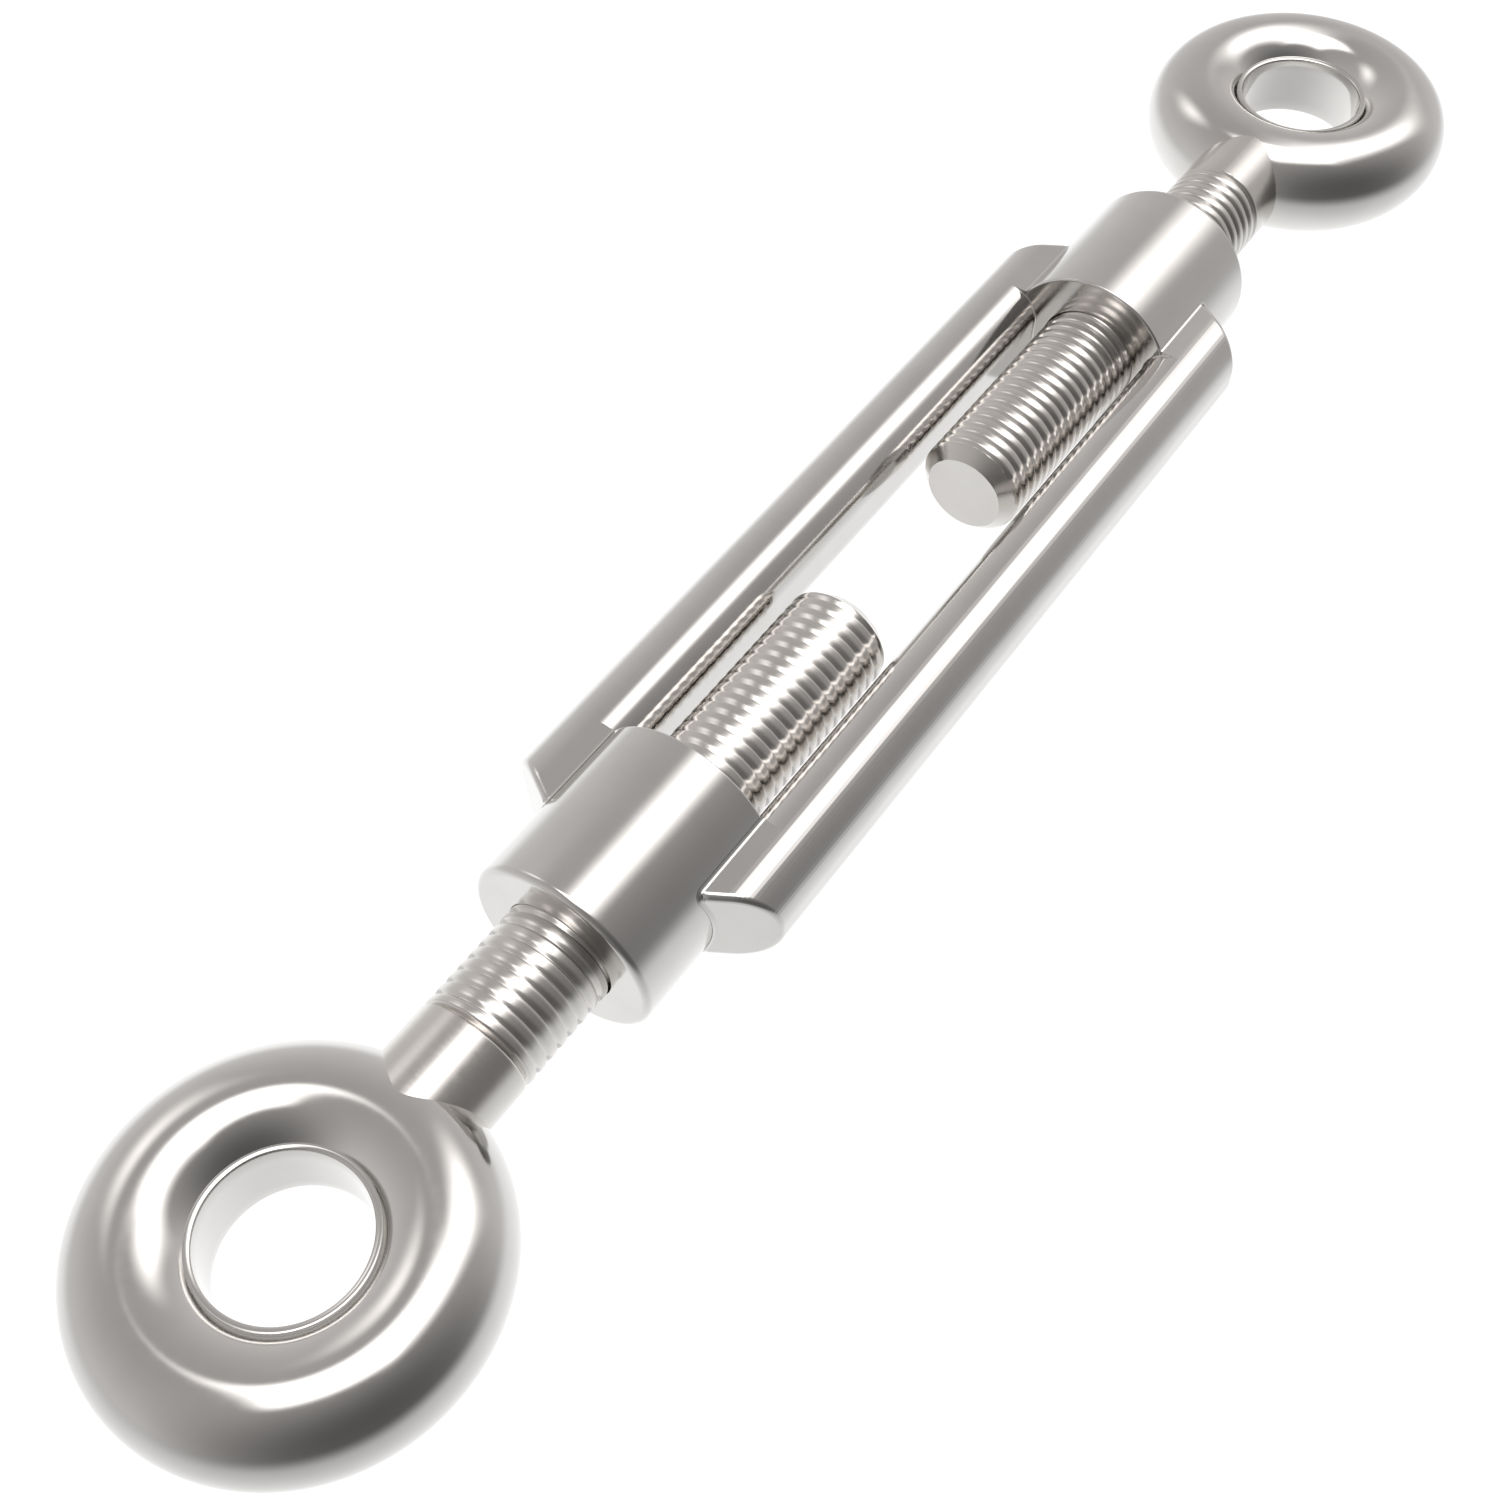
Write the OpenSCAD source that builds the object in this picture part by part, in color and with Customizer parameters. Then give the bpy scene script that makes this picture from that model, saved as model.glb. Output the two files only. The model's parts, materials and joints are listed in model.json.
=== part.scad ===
// Rigging turnbuckle: an open body with a screwed eye at each end.
// The screw axis lies along X. The near end is at -X and has a right-hand
// thread, the far end is at +X and has a left-hand thread. The two side bars
// lie at +Y (left) and -Y (right), and the eyes' bores stand along Z.
// The origin is on the screw axis, midway between the two bosses.

/* [Body] */
// Length of the body, over the outer faces of the two bosses
body_length = 200; // [190:1:230]
// Width of the body, over the two side bars
body_width = 53; // [53:0.5:58]
// Outside diameter of each threaded boss
boss_d = 34.5; // [32:0.5:38]
// Length of each threaded boss
boss_length = 33.8; // [30:0.2:38]
// Rounding of a boss's outer rim
boss_rim_r = 1.2; // [0.4:0.2:2]

/* [Side bars] */
// Thickness of a side bar, top to bottom
bar_thickness = 17.6; // [16:0.2:19]
// Rounding of a side bar's outer edges
bar_outer_r = 7.8; // [4:0.1:7.8]
// Rounding of a side bar's edges along the window
bar_inner_r = 6.4; // [2:0.1:6.4]
// Distance from a boss's outer face to where a side bar's end meets the boss
bar_setback = 17.3; // [10:0.1:20]
// Slant of a side bar's end, from square across
end_slant = 31; // [0:1:40]
// Clear width of the window between the side bars
window_width = 24.4; // [22:0.2:24.4]
// Leg of the small weld bead between a side bar and a boss
weld_leg = 0.8; // [0.4:0.1:1.6]

/* [Threaded shanks] */
// Nominal diameter of the thread and of the plain shank
thread_d = 20; // [18:0.5:20]
// Pitch of the thread
thread_pitch = 2.5; // [1.5:0.5:3]
// Length of thread on each shank
thread_length = 101.2; // [90:0.2:103]
// Distance between the two shanks' ends inside the window
end_gap = 40; // [20:1:60]
// Chamfer at a shank's end
end_chamfer = 2.4; // [1:0.2:3]
// Radial clearance of a shank in its boss
thread_clearance = 0.05; // [0.02:0.01:0.1]

/* [Eyes] */
// Outside diameter of an eye's ring
eye_outer_d = 64.4; // [62:0.2:66]
// Diameter of the round stock that the ring is made of
eye_stock_d = 20.8; // [20.2:0.2:22]
// Diameter of the bore through an eye
eye_bore_d = 25; // [24:0.2:27]
// Rounding of the bore's two mouths
eye_mouth_r = 6; // [3:0.2:6.4]
// Distance from the middle of the body to an eye's centre
eye_centre = 160; // [158:1:175]

/* [Hidden] */

$fn = 96;
steel = "#b9b6b1";
weld_steel = "#d6d4d0";
ring_steel = "#c4c1bc";
thread_steel = "#a39f99";

// Running gap between the near boss and the pieces that turn round it
turn_gap = 0.05;
// Extra size of a cutting shape past what it cuts
over = 1;

// Body
boss_r = boss_d / 2;
bore_r = thread_d / 2 + thread_clearance;
boss_outer_x = body_length / 2;
boss_inner_x = boss_outer_x - boss_length;
bar_end_x = boss_outer_x - bar_setback;
bar_z = bar_thickness / 2;
bar_outer_y = body_width / 2;
window_y = window_width / 2;

// Thread: a 60 degree form with flat crests and roots
thread_r = thread_d / 2;
root_r = thread_r - 5 / 8 * sqrt(3) / 2 * thread_pitch;
crest_flat = thread_pitch / 8;
root_flat = thread_pitch / 4;
shank_end = end_gap / 2;
thread_start = shank_end + thread_length;
groove_count = floor((thread_length - end_chamfer) / thread_pitch);

// Ring section: a round of the stock, cut by the bore, with rounded mouths
stock_r = eye_stock_d / 2;
ring_r = eye_outer_d / 2 - stock_r;
eye_bore_r = eye_bore_d / 2;
mouth_x = eye_bore_r + eye_mouth_r;
mouth_z = sqrt(pow(stock_r - eye_mouth_r, 2) - pow(mouth_x - ring_r, 2));

// Waste outside a rounding of radius r, in the corner towards +X and +Y
module corner_waste(r) {
    difference() {
        square(r + over);
        circle(r);
    }
}

// A solid turned about the X axis, its profile drawn as [radius, x]
module turned() {
    rotate([90, 0, 90]) rotate_extrude() children();
}

// A length of constant section along X from x0 to x1, its section drawn as [y, z]
module along_x(x0, x1) {
    translate([x0, 0, 0]) rotate([90, 0, 90]) linear_extrude(x1 - x0) children();
}

// Profile of a boss: bored through, with a rounded rim on the outer face
module boss_profile() {
    difference() {
        translate([bore_r, boss_inner_x]) square([boss_r - bore_r, boss_length]);
        translate([boss_r - boss_rim_r, boss_outer_x - boss_rim_r]) corner_waste(boss_rim_r);
    }
}

// X of the slanted end of a bar, at a distance y from the screw axis
function slanted_x(y) = bar_end_x - (y - boss_r) * tan(end_slant);

// Section of the left bar beside the window: rounded on all four edges
module window_section() {
    difference() {
        translate([window_y, -bar_z]) square([bar_outer_y - window_y, bar_thickness]);
        for (side = [0, 1]) mirror([0, side]) {
            translate([bar_outer_y - bar_outer_r, bar_z - bar_outer_r]) corner_waste(bar_outer_r);
            translate([window_y + bar_inner_r, bar_z - bar_inner_r]) mirror([1, 0])
                corner_waste(bar_inner_r);
        }
    }
}

// Section of the left bar beside a boss: flat above and below, hollowed to fit the boss
module boss_section(gap) {
    difference() {
        translate([0, -bar_z]) square([bar_outer_y, bar_thickness]);
        for (side = [0, 1]) mirror([0, side])
            translate([bar_outer_y - bar_outer_r, bar_z - bar_outer_r]) corner_waste(bar_outer_r);
        circle(boss_r + gap);
    }
}

// Outline of the two slanted ends in plan, grown by grow along X, over a height about Z = 0
module plan_slab(height, grow) {
    translate([0, 0, -height / 2]) linear_extrude(height) polygon([
        [-slanted_x(0) - grow, 0], [slanted_x(0) + grow, 0],
        [slanted_x(body_width) + grow, body_width], [-slanted_x(body_width) - grow, body_width]
    ]);
}

// The left bar, which turns round the near boss and is fast to the far one
module side_bar() {
    intersection() {
        union() {
            along_x(-boss_inner_x + turn_gap, boss_inner_x) window_section();
            along_x(-boss_outer_x, -boss_inner_x + turn_gap) boss_section(turn_gap);
            along_x(boss_inner_x, boss_outer_x) boss_section(0);
        }
        plan_slab(bar_thickness + 2 * over, 0);
    }
}

// The far left weld: a bead round the boss, above and below the bar and along the bar's end
module weld(gap) {
    r = boss_r + gap;
    difference() {
        intersection() {
            along_x(boss_inner_x + gap, boss_outer_x) difference() {
                circle(r + weld_leg);
                circle(r);
            }
            plan_slab(bar_thickness + 2 * weld_leg, weld_leg / cos(end_slant));
        }
        plan_slab(bar_thickness, 0);
    }
}

// One groove of the thread as [radius, x] points, from the crest's edge at x
function groove(x) = [
    [thread_r, x + crest_flat / 2],
    [root_r, x + thread_pitch / 2 - root_flat / 2],
    [root_r, x + thread_pitch / 2 + root_flat / 2],
    [thread_r, x + thread_pitch - crest_flat / 2]
];

// Profile of the far shank: chamfered end, ridges at the thread's pitch, then plain
module shank_profile() {
    first_x = thread_start - groove_count * thread_pitch;
    polygon(concat(
        [[0, shank_end], [thread_r - end_chamfer, shank_end], [thread_r, shank_end + end_chamfer]],
        [for (i = [0 : groove_count - 1]) each groove(first_x + i * thread_pitch)],
        [[thread_r, eye_centre], [0, eye_centre]]
    ));
}

// The far shank, hollowed where it meets the outside of its ring
module shank() {
    difference() {
        turned() shank_profile();
        translate([eye_centre, 0, 0]) rotate_extrude() {
            translate([ring_r, 0]) circle(stock_r);
            translate([0, -stock_r]) square([ring_r, eye_stock_d]);
        }
    }
}

// Waste above a ring's middle, between the bore's wall and the mouth's rounding
module mouth_waste() {
    centre = [mouth_x, mouth_z];
    outward = [mouth_x - ring_r, mouth_z] / (stock_r - eye_mouth_r);
    tangent = [ring_r, 0] + stock_r * outward;
    difference() {
        polygon([centre, [eye_bore_r - over, mouth_z], [eye_bore_r - over, tangent.y + over], tangent]);
        translate(centre) circle(eye_mouth_r);
    }
}

// Section of a ring, as [radius, z]
module ring_section() {
    difference() {
        translate([ring_r, 0]) circle(stock_r);
        translate([-over, -stock_r - over]) square([eye_bore_r + over, eye_stock_d + 2 * over]);
        for (side = [0, 1]) mirror([0, side]) mouth_waste();
    }
}

module near_boss() {
    color(steel) mirror([1, 0, 0]) turned() boss_profile();
}

module far_boss() {
    color(steel) turned() boss_profile();
}

module left_bar() {
    color(steel) side_bar();
}

module right_bar() {
    color(steel) mirror([0, 1, 0]) side_bar();
}

module near_left_weld() {
    color(weld_steel) mirror([1, 0, 0]) weld(turn_gap);
}

module near_right_weld() {
    color(weld_steel) rotate([0, 0, 180]) weld(turn_gap);
}

module far_left_weld() {
    color(weld_steel) weld(0);
}

module far_right_weld() {
    color(weld_steel) mirror([0, 1, 0]) weld(0);
}

module near_ring() {
    color(ring_steel) translate([-eye_centre, 0, 0]) rotate_extrude() ring_section();
}

module far_ring() {
    color(ring_steel) translate([eye_centre, 0, 0]) rotate_extrude() ring_section();
}

module near_shank() {
    color(thread_steel) mirror([1, 0, 0]) shank();
}

module far_shank() {
    color(thread_steel) shank();
}

near_boss();
far_boss();
left_bar();
right_bar();
near_left_weld();
near_right_weld();
far_left_weld();
far_right_weld();
near_ring();
near_shank();
far_ring();
far_shank();
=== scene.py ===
import json
import math

import bmesh
import bpy
from mathutils import Matrix, Vector


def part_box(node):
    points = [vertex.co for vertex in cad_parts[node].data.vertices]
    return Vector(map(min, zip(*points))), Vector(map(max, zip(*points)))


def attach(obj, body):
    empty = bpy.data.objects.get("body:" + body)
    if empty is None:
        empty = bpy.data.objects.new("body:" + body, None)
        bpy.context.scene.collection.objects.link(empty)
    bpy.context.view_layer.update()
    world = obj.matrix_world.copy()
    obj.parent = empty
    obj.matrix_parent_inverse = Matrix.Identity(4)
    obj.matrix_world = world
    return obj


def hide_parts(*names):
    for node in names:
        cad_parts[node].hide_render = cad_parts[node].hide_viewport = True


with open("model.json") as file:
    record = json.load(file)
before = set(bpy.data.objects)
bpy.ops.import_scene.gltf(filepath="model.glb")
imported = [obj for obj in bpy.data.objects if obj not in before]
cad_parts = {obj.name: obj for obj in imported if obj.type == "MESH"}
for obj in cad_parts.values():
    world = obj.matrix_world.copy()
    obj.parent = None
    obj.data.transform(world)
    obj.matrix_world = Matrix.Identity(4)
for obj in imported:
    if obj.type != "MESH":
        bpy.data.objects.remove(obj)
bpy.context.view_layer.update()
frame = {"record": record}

# A rigging turnbuckle: two bosses joined by two side bars, with an eye screwed into each boss.
# Lengths below are in millimetres and are scaled to metres as each mesh is finished. Every piece is
# built on the far (+X), left (+Y) side and mirrored to where it belongs.
MM = 0.001


def box_mm(node):
    """The two corners of a CAD node's box, in millimetres."""
    low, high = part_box(node)
    return low / MM, high / MM


boss_low, boss_high = box_mm("far_boss")
bar_low, bar_high = box_mm("left_bar")
ring_low, ring_high = box_mm("far_ring")
shank_low, shank_high = box_mm("far_shank")
eye_mount = next(m for m in frame["record"]["mounts"] if m["name"] == "far_eye")

# Bosses. The turn gap is the room round a thread in its bore, and between the frame and the near boss
BOSS_R = boss_high.z
INNER_X = boss_low.x
OUTER_X = boss_high.x
RIM_R = 1.2
INNER_RIM_R = 0.4
BORE_MOUTH_R = 0.12
TURN_GAP = 0.05

# Side bars, and the fillets that join them to the bosses. Over the changeover, a bar's section turns
# from the one beside the window into the one beside the boss
BAR_Y = bar_high.y
BAR_Z = bar_high.z
WINDOW_Y = bar_low.y
BAR_OUTER_R = 7.8
BAR_INNER_R = 6.4
END_SLANT = math.radians(31)
END_EDGE_R = 1.2
CHANGEOVER = 0.05
FILLET_R = 0.9
WINDOW_FILLET_R = 0.3
FILLET_OVERLAP = 0.1

# Threaded shanks. The flank's slope is in degrees from the plane across the shank
THREAD_R = shank_high.z
BORE_R = THREAD_R + TURN_GAP
PITCH = 2.5
THREAD_END = 121.2
STUD_END = shank_low.x
END_CHAMFER = 2.4
CREST_HALF_FLAT = 0.13 * PITCH
CREST_R = 0.26 * PITCH
ROOT_ROUNDING = 0.04 * PITCH
FLANK = 30
RUNOUT_SLOPE = 2.0
INSIDE_RING = 0.2

# How much of the thread's own shape its shading keeps. The rest is a cylinder's
NEAR_RELIEF = 0.3
FAR_RELIEF = 0.6

# Eyes. From the bore's middle out, the profile has three arcs: the bore's mouth, the inside of its lip
# and the lip's crown. Each turn says how far round the profile has come where that arc ends, in degrees
EYE_X = (ring_low.x + ring_high.x) / 2
STOCK_R = ring_high.z
RING_R = ring_high.y - STOCK_R
EYE_BORE_R = eye_mount["dims"]["r_mm"]
MOUTH_R = 16
MOUTH_TURN = 8
LIP_R = 0.45
LIP_TURN = 65
CROWN_R = 1.4
CROWN_TURN = 100

# Meshes: how far from a corner its supporting points are, how long a stretch is that gets them, the
# angle from which an edge is sharp, and the distances that count as one point and as nothing
SUPPORT = 0.12
LONG_STRETCH = 4 * SUPPORT
SHARP_ANGLE = math.radians(32)
WELD_DISTANCE = 1e-4
NEGLIGIBLE = 1e-6

# Fineness: segments round an axis, and steps along an arc
TURNED_SEGMENTS = 192
RING_SEGMENTS = 320
THREAD_SEGMENTS = 84
RIM_STEPS = 10
SMALL_RIM_STEPS = 6
MOUTH_STEPS = 8
LIP_STEPS = 6
CROWN_STEPS = 8
STOCK_STEPS = 128
BAR_OUTER_STEPS = 18
CREST_STEPS = 6
ROOT_STEPS = 3


# ---------------------------------------------------------------- outlines


def arc(centre, radius, start, stop, steps):
    """Points on an arc, from start to stop in degrees."""
    turns = [math.radians(start + (stop - start) * i / steps) for i in range(steps + 1)]
    return [(centre[0] + radius * math.cos(t), centre[1] + radius * math.sin(t)) for t in turns]


def between(a, b, share):
    """The point at a share of the way from a to b."""
    return tuple(p + (q - p) * share for p, q in zip(a, b))


def supported(outline, closed=True):
    """The outline with a point near each end of its long straight stretches, for crisp shading."""
    followers = outline[1:] + outline[:1] if closed else outline[1:]
    points = []
    for a, b in zip(outline, followers):
        points.append(a)
        length = math.dist(a, b)
        if length > LONG_STRETCH:
            points.append(between(a, b, SUPPORT / length))
            points.append(between(a, b, 1 - SUPPORT / length))
    return points if closed else points + outline[-1:]


def slerp(a, b, share):
    """The unit vector at a share of the way round from a to b."""
    angle = a.angle(b)
    if angle < NEGLIGIBLE:
        return a.copy()
    return (a * math.sin((1 - share) * angle) + b * math.sin(share * angle)) / math.sin(angle)


# ---------------------------------------------------------------- meshes


def skin(bm, rows, looped=False):
    """Joins each row of vertices to the next. A row is a closed loop, and so are the rows if looped."""
    followers = rows[1:] + rows[:1] if looped else rows[1:]
    for row, follower in zip(rows, followers):
        for i in range(len(row)):
            bm.faces.new((row[i - 1], row[i], follower[i], follower[i - 1]))


def cap(bm, row):
    """Closes the end of a skin with one face."""
    bm.faces.new(row)


def lathe(outline, place, segments):
    """A closed outline of (radius, height) points turned into a solid. place gives a point's position."""
    bm = bmesh.new()
    turns = [math.tau * s / segments for s in range(segments)]
    rows = [[bm.verts.new(place(radius, height, turn)) for turn in turns] for radius, height in outline]
    skin(bm, rows, looped=True)
    return bm


def about_screw(radius, x, turn):
    return (x, radius * math.cos(turn), radius * math.sin(turn))


def about_eye(radius, z, turn):
    return (EYE_X + radius * math.cos(turn), radius * math.sin(turn), z)


def turn_outward(bm):
    """Makes the faces of every closed shell point outward."""
    bmesh.ops.recalc_face_normals(bm, faces=bm.faces)
    unseen = set(bm.faces)
    while unseen:
        shell = [unseen.pop()]
        for face in shell:
            neighbours = (other for edge in face.edges for other in edge.link_faces)
            for other in neighbours:
                if other in unseen:
                    unseen.remove(other)
                    shell.append(other)
        if sum(face.calc_area() * face.normal.dot(face.calc_center_median()) for face in shell) < 0:
            bmesh.ops.reverse_faces(bm, faces=shell)


def finish_piece(name, bm, material, body, node, mirror):
    """Makes an object of a mesh in millimetres, which rides on a body and stands for a CAD node."""
    bmesh.ops.remove_doubles(bm, verts=bm.verts, dist=WELD_DISTANCE)
    bmesh.ops.dissolve_degenerate(bm, edges=bm.edges, dist=WELD_DISTANCE)
    bm.transform(Matrix.Diagonal((*mirror, 1)))
    turn_outward(bm)
    bm.transform(Matrix.Scale(MM, 4))
    mesh = bpy.data.meshes.new(name)
    bm.to_mesh(mesh)
    bm.free()
    mesh.polygons.foreach_set("use_smooth", [True] * len(mesh.polygons))
    mesh.set_sharp_from_angle(angle=SHARP_ANGLE)
    mesh.materials.append(material)
    piece = bpy.data.objects.new(name, mesh)
    bpy.context.scene.collection.objects.link(piece)
    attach(piece, body)
    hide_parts(node)
    return piece


# ---------------------------------------------------------------- bosses and rings


def boss():
    """A bored cylinder with a rounded outer rim and slightly rounded bore mouths."""
    mouth_r = BORE_R + BORE_MOUTH_R
    outline = (
        arc((mouth_r, OUTER_X - BORE_MOUTH_R), BORE_MOUTH_R, 180, 90, SMALL_RIM_STEPS)
        + arc((BOSS_R - RIM_R, OUTER_X - RIM_R), RIM_R, 90, 0, RIM_STEPS)
        + arc((BOSS_R - INNER_RIM_R, INNER_X + INNER_RIM_R), INNER_RIM_R, 0, -90, SMALL_RIM_STEPS)
        + arc((mouth_r, INNER_X + BORE_MOUTH_R), BORE_MOUTH_R, -90, -180, SMALL_RIM_STEPS)
    )
    return lathe(supported(outline), about_screw, TURNED_SEGMENTS)


def ring():
    """A round of the stock bent into a ring. Its bore opens a little and ends in small rounded lips."""
    mouth = (MOUTH_R, MOUTH_TURN, MOUTH_STEPS)
    lip = (LIP_R, LIP_TURN, LIP_STEPS)
    crown = (CROWN_R, CROWN_TURN, CROWN_STEPS)
    profile = [(EYE_BORE_R, 0)]
    turn = 0
    for radius, stop, steps in (mouth, lip, crown):
        bend = arc((0, 0), radius, 180 - turn, 180 - stop, steps)
        x, z = (p - q for p, q in zip(profile[-1], bend[0]))
        profile += [(x + bend_x, z + bend_z) for bend_x, bend_z in bend[1:]]
        turn = stop
    edge_x, profile_top = profile[-1]
    edge_z = math.sqrt(STOCK_R**2 - (RING_R - edge_x) ** 2)
    edge = math.degrees(math.atan2(edge_z, edge_x - RING_R))
    upper = [(x, z + edge_z - profile_top) for x, z in profile]
    lower = [(x, -z) for x, z in reversed(upper)]
    outline = upper[:-1] + arc((RING_R, 0), STOCK_R, edge, -edge, STOCK_STEPS) + lower[1:]
    return lathe(supported(outline), about_eye, RING_SEGMENTS)


# ---------------------------------------------------------------- side bars


END_NORMAL = Vector((math.cos(END_SLANT), math.sin(END_SLANT), 0))


def boss_corner_y(radius, z):
    """Y of a boss's circle at a height z."""
    return math.sqrt(radius**2 - z**2)


# The end plane passes through the bar's furthest point, where its top meets the boss
END_PLANE = bar_high.x * math.cos(END_SLANT) + boss_corner_y(BOSS_R, BAR_Z) * math.sin(END_SLANT)


def end_x(y, depth=0.0):
    """X of the end plane at a distance y, moved in by a depth."""
    return (END_PLANE - depth - y * math.sin(END_SLANT)) / math.cos(END_SLANT)


def outer_side():
    """(point, normal) from the bar's top round its outer side to its bottom, in a plane across the bar."""
    centre_y = BAR_Y - BAR_OUTER_R
    centre_z = BAR_Z - BAR_OUTER_R
    upper = arc((centre_y, centre_z), BAR_OUTER_R, 90, 0, BAR_OUTER_STEPS)
    lower = arc((centre_y, -centre_z), BAR_OUTER_R, 0, -90, BAR_OUTER_STEPS)
    points = supported(upper + lower, closed=False)
    result = []
    for y, z in points:
        centre = math.copysign(min(abs(z), centre_z), z)
        result.append((Vector((y, z)), Vector((y - centre_y, z - centre)).normalized()))
    return result


def mirrored_below(upper):
    """A list of (point, normal) from the middle up, with its mirror image below put before it."""
    flip = Matrix.Diagonal((1, -1))
    return [(flip @ p, flip @ n) for p, n in reversed(upper[1:])] + upper


def crossing_angle(radius):
    """Where the rounding along the window crosses the boss's circle, in degrees round the rounding."""
    centre = Vector((WINDOW_Y + BAR_INNER_R, BAR_Z - BAR_INNER_R))
    cosine = (radius**2 - centre.length_squared - BAR_INNER_R**2) / (2 * BAR_INNER_R * centre.length)
    return math.degrees(math.acos(cosine) + math.atan2(centre.y, centre.x))


# Steps below and above that crossing. Beside the boss, some of the high ones go up its side
LOW_STEPS = 12
HIGH_STEPS = 8
COPE_STEPS = 2
FLAT_POINTS = 2


def window_side(radius):
    """(point, normal) along the window's side of the bar, from its bottom to its top."""
    centre = Vector((WINDOW_Y + BAR_INNER_R, BAR_Z - BAR_INNER_R))
    crossing = crossing_angle(radius)
    rounding = arc(centre, BAR_INNER_R, 180, crossing, LOW_STEPS)
    rounding += arc(centre, BAR_INNER_R, crossing, 90, HIGH_STEPS)[1:]
    upper = [(Vector(p), (Vector(p) - centre).normalized()) for p in rounding]
    flat = [(Vector((WINDOW_Y, z)), Vector((-1, 0))) for z in (0, centre.y - SUPPORT)]
    return mirrored_below(flat + upper)


def boss_side(radius):
    """(point, normal) along the side that fits the boss, with as many points as window_side().

    A point on the boss has no normal, because the bar's end isn't rounded there.
    """
    centre = Vector((WINDOW_Y + BAR_INNER_R, BAR_Z - BAR_INNER_R))
    crossing = Vector(arc(centre, BAR_INNER_R, crossing_angle(radius), 0, 1)[0])
    crossing_turn = math.degrees(math.atan2(crossing.y, crossing.x))
    corner_turn = math.degrees(math.asin(BAR_Z / radius))
    cope = arc((0, 0), radius, 0, crossing_turn, LOW_STEPS + FLAT_POINTS)
    cope += arc((0, 0), radius, crossing_turn, corner_turn, COPE_STEPS)[1:]
    upper = [(Vector(p), None) for p in cope]
    first_y = boss_corner_y(radius, BAR_Z - END_EDGE_R)
    last_y = BAR_Y - BAR_OUTER_R
    steps = HIGH_STEPS - COPE_STEPS
    for i in range(steps):
        y = first_y + (last_y - first_y) * i / (steps - 1)
        upper.append((Vector((y, BAR_Z)), Vector((0, 1))))
    flip = Matrix.Diagonal((1, -1))
    lower = [(flip @ p, n and flip @ n) for p, n in reversed(upper[1:])]
    return lower + upper


def end_point(point, normal, share, inset=0.0):
    """A point of the bar's rounded end. share runs from 0 on the bar's side to 1 on its end face."""
    if normal is None:
        z = min(abs(point.y), BAR_Z)
        if share == 1:
            z = min(z, BAR_Z - END_EDGE_R)
            y = point.x if abs(point.y) <= BAR_Z - END_EDGE_R else boss_corner_y(point.length, z)
            return Vector((end_x(y), y, math.copysign(z, point.y)))
        rise = min(max((z - BAR_Z + END_EDGE_R) / END_EDGE_R, 0), 1)
        depth = END_EDGE_R * (1 - math.sqrt(1 - rise**2))
        return Vector((end_x(point.x, depth), point.x, point.y))
    side = Vector((0, normal.x, normal.y))
    edge_r = END_EDGE_R + inset
    centre_y, centre_z = point - edge_r * normal
    centre = Vector((end_x(centre_y, END_EDGE_R), centre_y, centre_z))
    return centre + END_EDGE_R * slerp(side, END_NORMAL, share)


def bar_half(bm, radius, inner_x):
    """Rows of vertices of the bar's far half, from the middle of the window to the end."""
    outer = outer_side()
    window = outer + window_side(radius)
    beside_boss = outer + boss_side(radius)
    rows = []
    for x in (inner_x - CHANGEOVER - SUPPORT, inner_x - CHANGEOVER):
        rows.append([Vector((x, p.x, p.y)) for p, n in window])
    for x in (inner_x, inner_x + SUPPORT):
        rows.append([Vector((x, p.x, p.y)) for p, n in beside_boss])
    start = [end_point(p, n, 0) for p, n in beside_boss]
    rows.append([v - Vector((SUPPORT, 0, 0)) for v in start])
    edge_steps = 6
    for j in range(edge_steps + 1):
        rows.append([end_point(p, n, j / edge_steps) for p, n in beside_boss])
    rows.append([end_point(p, n, 1, SUPPORT) for p, n in beside_boss])
    return [[bm.verts.new(v) for v in row] for row in rows]


def bar():
    """The left bar, with both its ends."""
    bm = bmesh.new()
    far = bar_half(bm, BOSS_R, INNER_X)
    near = bar_half(bm, BOSS_R + TURN_GAP, INNER_X - TURN_GAP)
    for row in near:
        for vertex in row:
            vertex.co.x = -vertex.co.x
    rows = near[::-1] + far
    skin(bm, rows)
    cap(bm, rows[0])
    cap(bm, rows[-1])
    return bm


# ---------------------------------------------------------------- fillets


def fillet_row(bm, centre, radius, first, second):
    """One section of a fillet: an arc from the first to the second contact, and a hidden corner."""
    steps = 6
    points = [centre + radius * slerp(first, second, i / steps) for i in range(steps + 1)]
    middle = (first + second).normalized()
    reach = radius / math.cos(first.angle(second) / 2) + FILLET_OVERLAP
    points.append(centre + reach * middle)
    return [bm.verts.new(p) for p in points]


def boss_fillet_section(radius, z, bar_normal, depth):
    """Centre and two contact directions of a ball that rolls between the bar and the boss."""
    rolled = radius + FILLET_R
    y = math.sqrt(rolled**2 - z**2)
    centre = Vector((end_x(y, depth), y, z))
    return centre, -bar_normal, -Vector((0, y, z)).normalized()


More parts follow.
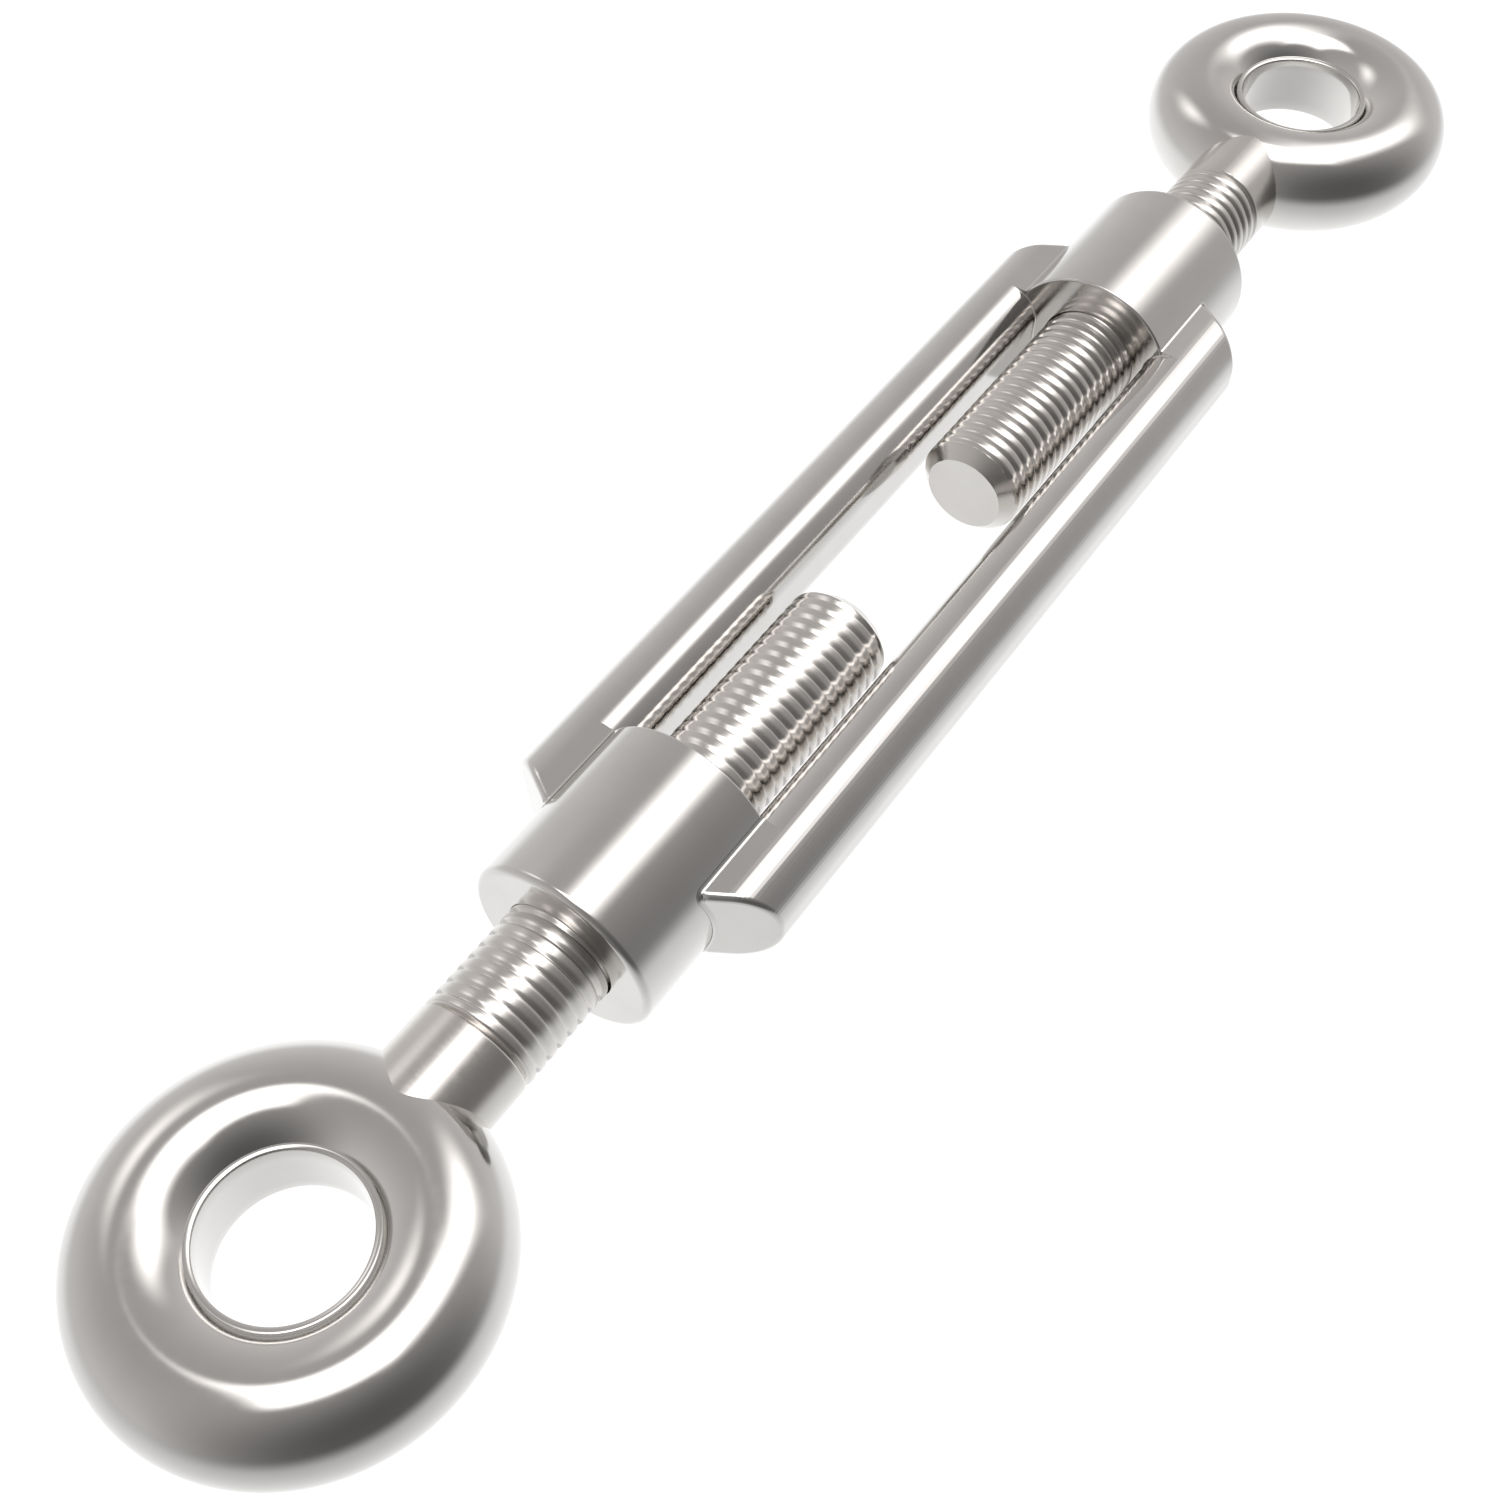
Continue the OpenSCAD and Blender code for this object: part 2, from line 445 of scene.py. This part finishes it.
def rolled_path(radius, inner_x):
    """The ball's sections from the window along the bar's top, round its end and back along its bottom."""
    up = Vector((0, 0, 1))
    upper = []
    top = boss_fillet_section(radius, BAR_Z + FILLET_R, up, END_EDGE_R)
    straight_steps = 4
    for i in range(straight_steps):
        centre = top[0].copy()
        centre.x = inner_x + (top[0].x - inner_x) * i / straight_steps
        upper.append((centre, *top[1:]))
    edge_steps = 8
    for i in range(edge_steps + 1):
        turn = math.pi / 2 * i / edge_steps
        normal = math.cos(turn) * up + math.sin(turn) * END_NORMAL
        reach = END_EDGE_R + FILLET_R
        z = BAR_Z - END_EDGE_R + reach * math.cos(turn)
        upper.append(boss_fillet_section(radius, z, normal, END_EDGE_R - reach * math.sin(turn)))
    down_steps = 8
    for i in range(1, down_steps + 1):
        z = (BAR_Z - END_EDGE_R) * (1 - i / down_steps)
        upper.append(boss_fillet_section(radius, z, END_NORMAL, -FILLET_R))
    flip = Matrix.Diagonal((1, 1, -1))
    return upper + [tuple(flip @ v for v in section) for section in reversed(upper[:-1])]


def window_fillet_rows(bm, radius, inner_x):
    """Rows of the small fillet between the bar's window side and the boss's inner face."""
    along = Vector((1, 0, 0))
    smallest = SUPPORT / 2
    rows = []
    for point, normal in window_side(radius):
        room = (BAR_Z - abs(point.y)) / max(abs(normal.y), NEGLIGIBLE)
        size = min(WINDOW_FILLET_R, room)
        if size > smallest:
            place = point + size * normal
            side = Vector((0, -normal.x, -normal.y))
            centre = Vector((inner_x - size, place.x, place.y))
            rows.append(fillet_row(bm, centre, size, side, along))
    return rows


def fillets(radius, inner_x):
    """Fillets between the left bar's far end and the boss: round the bar's end, and in the window."""
    bm = bmesh.new()
    path = rolled_path(radius, inner_x)
    round_end = [fillet_row(bm, centre, FILLET_R, *directions) for centre, *directions in path]
    for rows in (round_end, window_fillet_rows(bm, radius, inner_x)):
        skin(bm, rows)
        cap(bm, rows[0])
        cap(bm, rows[-1])
    return bm


# ---------------------------------------------------------------- threaded shanks


def thread_turn():
    """(along the axis, radius) of one turn of the thread, from the middle of a crest."""
    crest_centre = (CREST_HALF_FLAT, THREAD_R - CREST_R)
    slope = math.radians(FLANK)
    across = (PITCH / 2 - CREST_HALF_FLAT) * math.cos(slope)
    root_lift = (CREST_R + ROOT_ROUNDING - across) / math.sin(slope)
    root_centre = (PITCH / 2, crest_centre[1] + root_lift)
    half = [(0, THREAD_R)]
    half += arc(crest_centre, CREST_R, 90, FLANK, CREST_STEPS)
    half += arc(root_centre, ROOT_ROUNDING, 180 + FLANK, 270, ROOT_STEPS)
    return half + [(PITCH - along, radius) for along, radius in reversed(half[:-1])]


def thread_radius(x, radius):
    """The thread's radius, cut by the stud end's chamfer and filled where the plain shank starts."""
    chamfered = THREAD_R - END_CHAMFER + max(x - STUD_END, 0)
    filled = THREAD_R - RUNOUT_SLOPE * max(THREAD_END - x, 0)
    return min(max(radius, filled), chamfered, THREAD_R)


def trim(bm, x, outward):
    """Cuts the mesh across at x, drops the side that outward points to, and returns the cut's edges."""
    geometry = bm.verts[:] + bm.edges[:] + bm.faces[:]
    bmesh.ops.bisect_plane(
        bm, geom=geometry, dist=WELD_DISTANCE, plane_co=(x, 0, 0), plane_no=(outward, 0, 0), clear_outer=True
    )
    open_edges = (edge for edge in bm.edges if edge.is_boundary)
    return [edge for edge in open_edges if all(abs(v.co.x - x) < 2 * WELD_DISTANCE for v in edge.verts)]


def ring_contact_x(y, z):
    """X where a line along the shank meets the outside of the ring."""
    reach = RING_R + math.sqrt(STOCK_R**2 - z**2)
    return EYE_X - math.sqrt(reach**2 - y**2)


def extend_into_ring(bm, edges):
    """Draws an open end of the shank out along its axis to just inside the ring, and closes it."""
    made = bmesh.ops.extrude_edge_only(bm, edges=edges)["geom"]
    for vertex in (v for v in made if isinstance(v, bmesh.types.BMVert)):
        vertex.co.x = ring_contact_x(vertex.co.y, vertex.co.z) + INSIDE_RING
    rim = [e for e in made if isinstance(e, bmesh.types.BMEdge) and e.is_boundary]
    centre = bm.verts.new((ring_contact_x(0, 0) + INSIDE_RING, 0, 0))
    for edge in rim:
        bm.faces.new((*edge.verts, centre))


def shank():
    """The far shank with a left-hand thread, up to just inside its ring."""
    bm = bmesh.new()
    turn = thread_turn()
    spare_turns = 2
    count = math.ceil((THREAD_END - STUD_END) / PITCH) + 2 * spare_turns
    rows = []
    for i in range(count * len(turn)):
        along, radius = turn[i % len(turn)]
        start = STUD_END + (i // len(turn) - spare_turns) * PITCH + along
        row = []
        for s in range(THREAD_SEGMENTS):
            x = start - PITCH * s / THREAD_SEGMENTS
            place = about_screw(thread_radius(x, radius), x, math.tau * s / THREAD_SEGMENTS)
            row.append(bm.verts.new(place))
        rows.append(row)
    for row, follower in zip(rows, rows[1:]):
        for a, b, c, d in zip(row, row[1:], follower[1:], follower):
            bm.faces.new((a, b, c, d))
    # The last segment of each turn joins the first segment of the turn before it
    for i in range(len(turn), len(rows) - 1):
        first, last = rows[i - len(turn)], rows[i]
        bm.faces.new((last[-1], first[0], rows[i - len(turn) + 1][0], rows[i + 1][-1]))
    stud_edges = trim(bm, STUD_END, -1)
    plain_edges = trim(bm, THREAD_END + SUPPORT, 1)
    bmesh.ops.contextual_create(bm, geom=stud_edges)
    extend_into_ring(bm, plain_edges)
    return bm


def soften_thread(piece, relief):
    """Shades the thread as a rolled and polished one looks: a cylinder at relief 0, its own shape at 1."""
    low = (STUD_END + END_CHAMFER) * MM
    high = (THREAD_END - PITCH) * MM
    mesh = piece.data
    own = [corner.vector.copy() for corner in mesh.corner_normals]
    normals = []
    for loop, normal in zip(mesh.loops, own):
        x, y, z = mesh.vertices[loop.vertex_index].co
        if low < abs(x) < high:
            normal = Vector((0, y, z)).normalized().lerp(normal, relief).normalized()
        normals.append(normal)
    mesh.normals_split_custom_set(normals)


# ---------------------------------------------------------------- materials


# The middle of a noise's range, where nearly all of it lies
NOISE_LOW = 0.3
NOISE_HIGH = 0.7
NOISE_ROUGHNESS = 0.55
CLOUDS_PER_METRE = (90, 90, 90)
CLOUD_DETAIL = 4
LINE_DETAIL = 3
BUMP_DISTANCE = 0.00001


def nodes_of(material):
    """A material's nodes and links."""
    material.use_nodes = True
    return material.node_tree.nodes, material.node_tree.links


def stretched_noise(tree_nodes, links, coordinates, per_metre, detail):
    """A noise with so many features to the metre along each axis."""
    mapping = tree_nodes.new("ShaderNodeMapping")
    mapping.inputs["Scale"].default_value = per_metre
    links.new(coordinates.outputs["Object"], mapping.inputs["Vector"])
    noise = tree_nodes.new("ShaderNodeTexNoise")
    noise.inputs["Scale"].default_value = 1.0
    noise.inputs["Detail"].default_value = detail
    noise.inputs["Roughness"].default_value = NOISE_ROUGHNESS
    links.new(mapping.outputs["Vector"], noise.inputs["Vector"])
    return noise


def mapped(tree_nodes, links, source, low, high):
    """A noise's middle range mapped to low..high."""
    node = tree_nodes.new("ShaderNodeMapRange")
    node.inputs["From Min"].default_value = NOISE_LOW
    node.inputs["From Max"].default_value = NOISE_HIGH
    node.inputs["To Min"].default_value = low
    node.inputs["To Max"].default_value = high
    links.new(source, node.inputs["Value"])
    return node


def polished_steel(name, tones, roughness, lines_per_metre, line_depth):
    """Polished stainless steel: broad clouds in its tone, and fine lines in its gloss and surface."""
    material = bpy.data.materials.new(name)
    tree_nodes, links = nodes_of(material)
    shader = tree_nodes["Principled BSDF"]
    shader.inputs["Metallic"].default_value = 1.0
    coordinates = tree_nodes.new("ShaderNodeTexCoord")

    clouds = stretched_noise(tree_nodes, links, coordinates, CLOUDS_PER_METRE, CLOUD_DETAIL)
    tone = tree_nodes.new("ShaderNodeValToRGB")
    for stop, position, colour in zip(tone.color_ramp.elements, (NOISE_LOW, NOISE_HIGH), tones):
        stop.position = position
        stop.color = (*colour, 1)
    links.new(clouds.outputs["Fac"], tone.inputs["Fac"])
    links.new(tone.outputs["Color"], shader.inputs["Base Color"])

    lines = stretched_noise(tree_nodes, links, coordinates, lines_per_metre, LINE_DETAIL)
    gloss = mapped(tree_nodes, links, lines.outputs["Fac"], *roughness)
    links.new(gloss.outputs["Result"], shader.inputs["Roughness"])

    bump = tree_nodes.new("ShaderNodeBump")
    bump.inputs["Strength"].default_value = line_depth
    bump.inputs["Distance"].default_value = BUMP_DISTANCE
    links.new(lines.outputs["Fac"], bump.inputs["Height"])
    links.new(bump.outputs["Normal"], shader.inputs["Normal"])
    return material


# The dark and the light tone of each steel
BODY_TONES = ((0.725, 0.71, 0.69), (0.765, 0.75, 0.73))
THREAD_TONES = ((0.72, 0.695, 0.665), (0.77, 0.745, 0.715))

bar_steel = polished_steel(
    "bar_steel", BODY_TONES, roughness=(0.12, 0.16), lines_per_metre=(60, 2500, 2500), line_depth=0.3
)
boss_steel = polished_steel(
    "boss_steel", BODY_TONES, roughness=(0.12, 0.16), lines_per_metre=(3000, 120, 120), line_depth=0.3
)
fillet_steel = polished_steel(
    "fillet_steel", BODY_TONES, roughness=(0.16, 0.2), lines_per_metre=(900, 900, 900), line_depth=0.3
)
eye_steel = polished_steel(
    "eye_steel", BODY_TONES, roughness=(0.1, 0.13), lines_per_metre=(700, 700, 700), line_depth=0.1
)
thread_steel = polished_steel(
    "thread_steel", THREAD_TONES, roughness=(0.18, 0.24), lines_per_metre=(1500, 500, 500), line_depth=0.2
)


# ---------------------------------------------------------------- pieces


NEAR = (-1, 1, 1)
FAR = (1, 1, 1)


def add_side(side, y_sign):
    """The bar on one side, and the fillets at its two ends."""
    finish_piece(f"{side}_bar_forged", bar(), bar_steel, "frame", f"{side}_bar", (1, y_sign, 1))
    near = fillets(BOSS_R + TURN_GAP, INNER_X - TURN_GAP)
    far = fillets(BOSS_R, INNER_X)
    for end, bm, x_sign in (("near", near, -1), ("far", far, 1)):
        name, node, mirror = f"{end}_{side}_fillet", f"{end}_{side}_weld", (x_sign, y_sign, 1)
        finish_piece(name, bm, fillet_steel, "frame", node, mirror)


def add_eye(end, mirror, relief):
    """The eye at one end: its ring and its threaded shank."""
    body, shank_node = f"{end}_eye", f"{end}_shank"
    finish_piece(f"{end}_ring_bent", ring(), eye_steel, body, f"{end}_ring", mirror)
    rod = finish_piece(f"{end}_shank_cut", shank(), thread_steel, body, shank_node, mirror)
    soften_thread(rod, relief)


finish_piece("near_boss_turned", boss(), boss_steel, "carrier", "near_boss", NEAR)
finish_piece("far_boss_turned", boss(), boss_steel, "frame", "far_boss", FAR)
add_side("left", 1)
add_side("right", -1)
add_eye("near", NEAR, NEAR_RELIEF)
add_eye("far", FAR, FAR_RELIEF)


# ---------------------------------------------------------------- floor, light and camera


def floor():
    """A wide pale floor under the bosses, with a glow of its own that makes it an even white."""
    half = 15000 * MM
    grey = 0.3
    glow = 0.95
    z = -BOSS_R * MM
    corners = [(-half, -half, z), (half, -half, z), (half, half, z), (-half, half, z)]
    mesh = bpy.data.meshes.new("studio_floor")
    mesh.from_pydata(corners, [], [(0, 1, 2, 3)])
    material = bpy.data.materials.new("pale_floor")
    tree_nodes, _ = nodes_of(material)
    shader = tree_nodes["Principled BSDF"]
    shader.inputs["Base Color"].default_value = (grey, grey, grey, 1)
    shader.inputs["Roughness"].default_value = 1.0
    shader.inputs["Specular IOR Level"].default_value = 0.0
    shader.inputs["Emission Color"].default_value = (1, 1, 1, 1)
    shader.inputs["Emission Strength"].default_value = glow
    mesh.materials.append(material)
    piece = bpy.data.objects.new("studio_floor", mesh)
    piece.visible_glossy = False
    bpy.context.scene.collection.objects.link(piece)


class Sky:
    """The studio round the object, as brightness by direction. It holds the world's nodes."""

    def __init__(self):
        world = bpy.data.worlds.new("studio")
        bpy.context.scene.world = world
        world.use_nodes = True
        self.nodes = world.node_tree.nodes
        self.links = world.node_tree.links
        coordinates = self.nodes.new("ShaderNodeTexCoord")
        self.split = self.nodes.new("ShaderNodeSeparateXYZ")
        self.links.new(coordinates.outputs["Generated"], self.split.inputs["Vector"])

    def math(self, operation, a, b):
        """The result of a Math node on two numbers or outputs."""
        node = self.nodes.new("ShaderNodeMath")
        node.operation = operation
        for socket, value in zip(node.inputs, (a, b)):
            if isinstance(value, (int, float)):
                socket.default_value = value
            else:
                self.links.new(value, socket)
        return node.outputs["Value"]

    def add(self, a, b):
        return self.math("ADD", a, b)

    def times(self, a, b):
        return self.math("MULTIPLY", a, b)

    def step(self, value, start, stop, interpolation="SMOOTHSTEP"):
        """0 before start, 1 after stop, and smooth between them."""
        node = self.nodes.new("ShaderNodeMapRange")
        node.interpolation_type = interpolation
        node.inputs["From Min"].default_value = start
        node.inputs["From Max"].default_value = stop
        self.links.new(value, node.inputs["Value"])
        return node.outputs["Result"]

    def slab(self, value, low, low_soft, high, high_soft):
        """1 between low and high, with edges that are soft over twice the given widths."""
        rising = self.step(value, low - low_soft, low + low_soft)
        falling = self.step(value, high + high_soft, high - high_soft)
        return self.times(rising, falling)


# The studio, as the steel shows it: its brightness by direction, where x, y and z are the parts of a
# unit vector that points there. Its light is brighter than that by what steel of this reflectance loses
STEEL_REFLECTANCE = 0.73

# Walls: their darkest side, how much brighter they get, towards where, and what they lose overhead
WALL_DARK = 0.083
WALL_GAIN = 0.378
WALL_HEADING = math.radians(66)
OVERHEAD_LOSS = 0.4

# Ground: its light level with the horizon, and what it gains along x, y and z
GROUND_LIGHT = 0.5
GROUND_GAINS = (0.145, 0.165, -0.255)

# Softboxes and lamp
SOFTBOX_LIGHT = 1.6
LAMP_LIGHT = 1.2

# The ground's light is neutral, and the light from above it a little warmer
GROUND_TINT = (0.995, 1.0, 1.005, 1)
UPPER_TINT = (1.025, 1.0, 0.993, 1)


def walls(sky, x, y, z):
    """Grey walls, brightest towards one heading and darker overhead."""
    heading_x, heading_y = math.cos(WALL_HEADING), math.sin(WALL_HEADING)
    towards = sky.add(sky.times(x, heading_x), sky.times(y, heading_y))
    light = sky.add(WALL_DARK, sky.times(WALL_GAIN, sky.step(towards, start=-1.05, stop=0.125)))
    overhead = sky.step(z, start=0, stop=1, interpolation="LINEAR")
    return sky.times(light, sky.add(1, sky.times(overhead, -OVERHEAD_LOSS)))


def ground(sky, x, y, z):
    """A pale ground, brightest underneath and a little brighter on the left and far sides."""
    x_gain, y_gain, z_gain = GROUND_GAINS
    light = sky.add(GROUND_LIGHT, sky.add(sky.times(y, y_gain), sky.times(x, x_gain)))
    return sky.add(light, sky.times(z, z_gain))


def lights(sky, x, y, z):
    """A long softbox that runs towards the far eye, a square one at 45 degrees to it, and a small lamp."""
    long_box = sky.times(
        sky.slab(x, low=-0.02, low_soft=0.08, high=0.77, high_soft=0.16),
        sky.slab(y, low=-0.335, low_soft=0.2, high=0.06, high_soft=0.22),
    )
    u = sky.times(sky.add(x, y), math.sqrt(0.5))
    v = sky.times(sky.add(x, sky.times(y, -1)), math.sqrt(0.5))
    square_box = sky.times(
        sky.slab(u, low=-0.24, low_soft=0.11, high=0.3, high_soft=0.09),
        sky.slab(v, low=-0.24, low_soft=0.07, high=0.32, high_soft=0.04),
    )
    softboxes = sky.times(sky.math("MAXIMUM", long_box, square_box), SOFTBOX_LIGHT)
    lamp = sky.times(
        sky.slab(x, low=-0.02, low_soft=0.16, high=0.245, high_soft=0.16),
        sky.slab(y, low=0.69, low_soft=0.16, high=0.8, high_soft=0.16),
    )
    above_horizon = sky.step(z, start=0.05, stop=0.25)
    return sky.times(sky.add(softboxes, sky.times(lamp, LAMP_LIGHT)), above_horizon)


def studio():
    """The studio's light on the object, and a white backdrop that only the camera sees."""
    sky = Sky()
    axes = [sky.split.outputs[axis] for axis in "XYZ"]
    z = axes[2]
    below = sky.step(z, start=0, stop=-0.45)
    above = sky.add(1, sky.times(below, -1))
    surroundings = sky.add(sky.times(walls(sky, *axes), above), sky.times(ground(sky, *axes), below))
    brightness = sky.times(sky.add(surroundings, lights(sky, *axes)), 1 / STEEL_REFLECTANCE)

    tint = sky.nodes.new("ShaderNodeValToRGB")
    tint.color_ramp.elements[0].color = GROUND_TINT
    tint.color_ramp.elements[1].color = UPPER_TINT
    sky.links.new(sky.step(z, start=-0.3, stop=0.1), tint.inputs["Fac"])

    light = sky.nodes["Background"]
    sky.links.new(brightness, light.inputs["Strength"])
    sky.links.new(tint.outputs["Color"], light.inputs["Color"])
    backdrop = sky.nodes.new("ShaderNodeBackground")
    backdrop.inputs["Color"].default_value = (1, 1, 1, 1)
    backdrop.inputs["Strength"].default_value = 1.0
    path = sky.nodes.new("ShaderNodeLightPath")
    mix = sky.nodes.new("ShaderNodeMixShader")
    sky.links.new(path.outputs["Is Camera Ray"], mix.inputs["Fac"])
    sky.links.new(light.outputs["Background"], mix.inputs[1])
    sky.links.new(backdrop.outputs["Background"], mix.inputs[2])
    sky.links.new(mix.outputs["Shader"], sky.nodes["World Output"].inputs["Surface"])


def camera():
    """Looks down along the turnbuckle from beyond its near eye, on its right."""
    aim = Vector((-51.3, -1.8, 0)) * MM
    distance = 315.6 * MM
    heading = math.radians(35.46)
    drop = math.radians(54.12)
    sight = Vector((math.cos(heading) * math.cos(drop), math.sin(heading) * math.cos(drop), -math.sin(drop)))
    data = bpy.data.cameras.new("camera")
    data.lens = 45.0
    data.sensor_width = 36.0
    piece = bpy.data.objects.new("camera", data)
    piece.location = aim - distance * sight
    piece.rotation_euler = sight.to_track_quat("-Z", "Y").to_euler()
    bpy.context.scene.collection.objects.link(piece)
    bpy.context.scene.camera = piece


floor()
studio()
camera()
bpy.context.scene.view_settings.view_transform = "Standard"
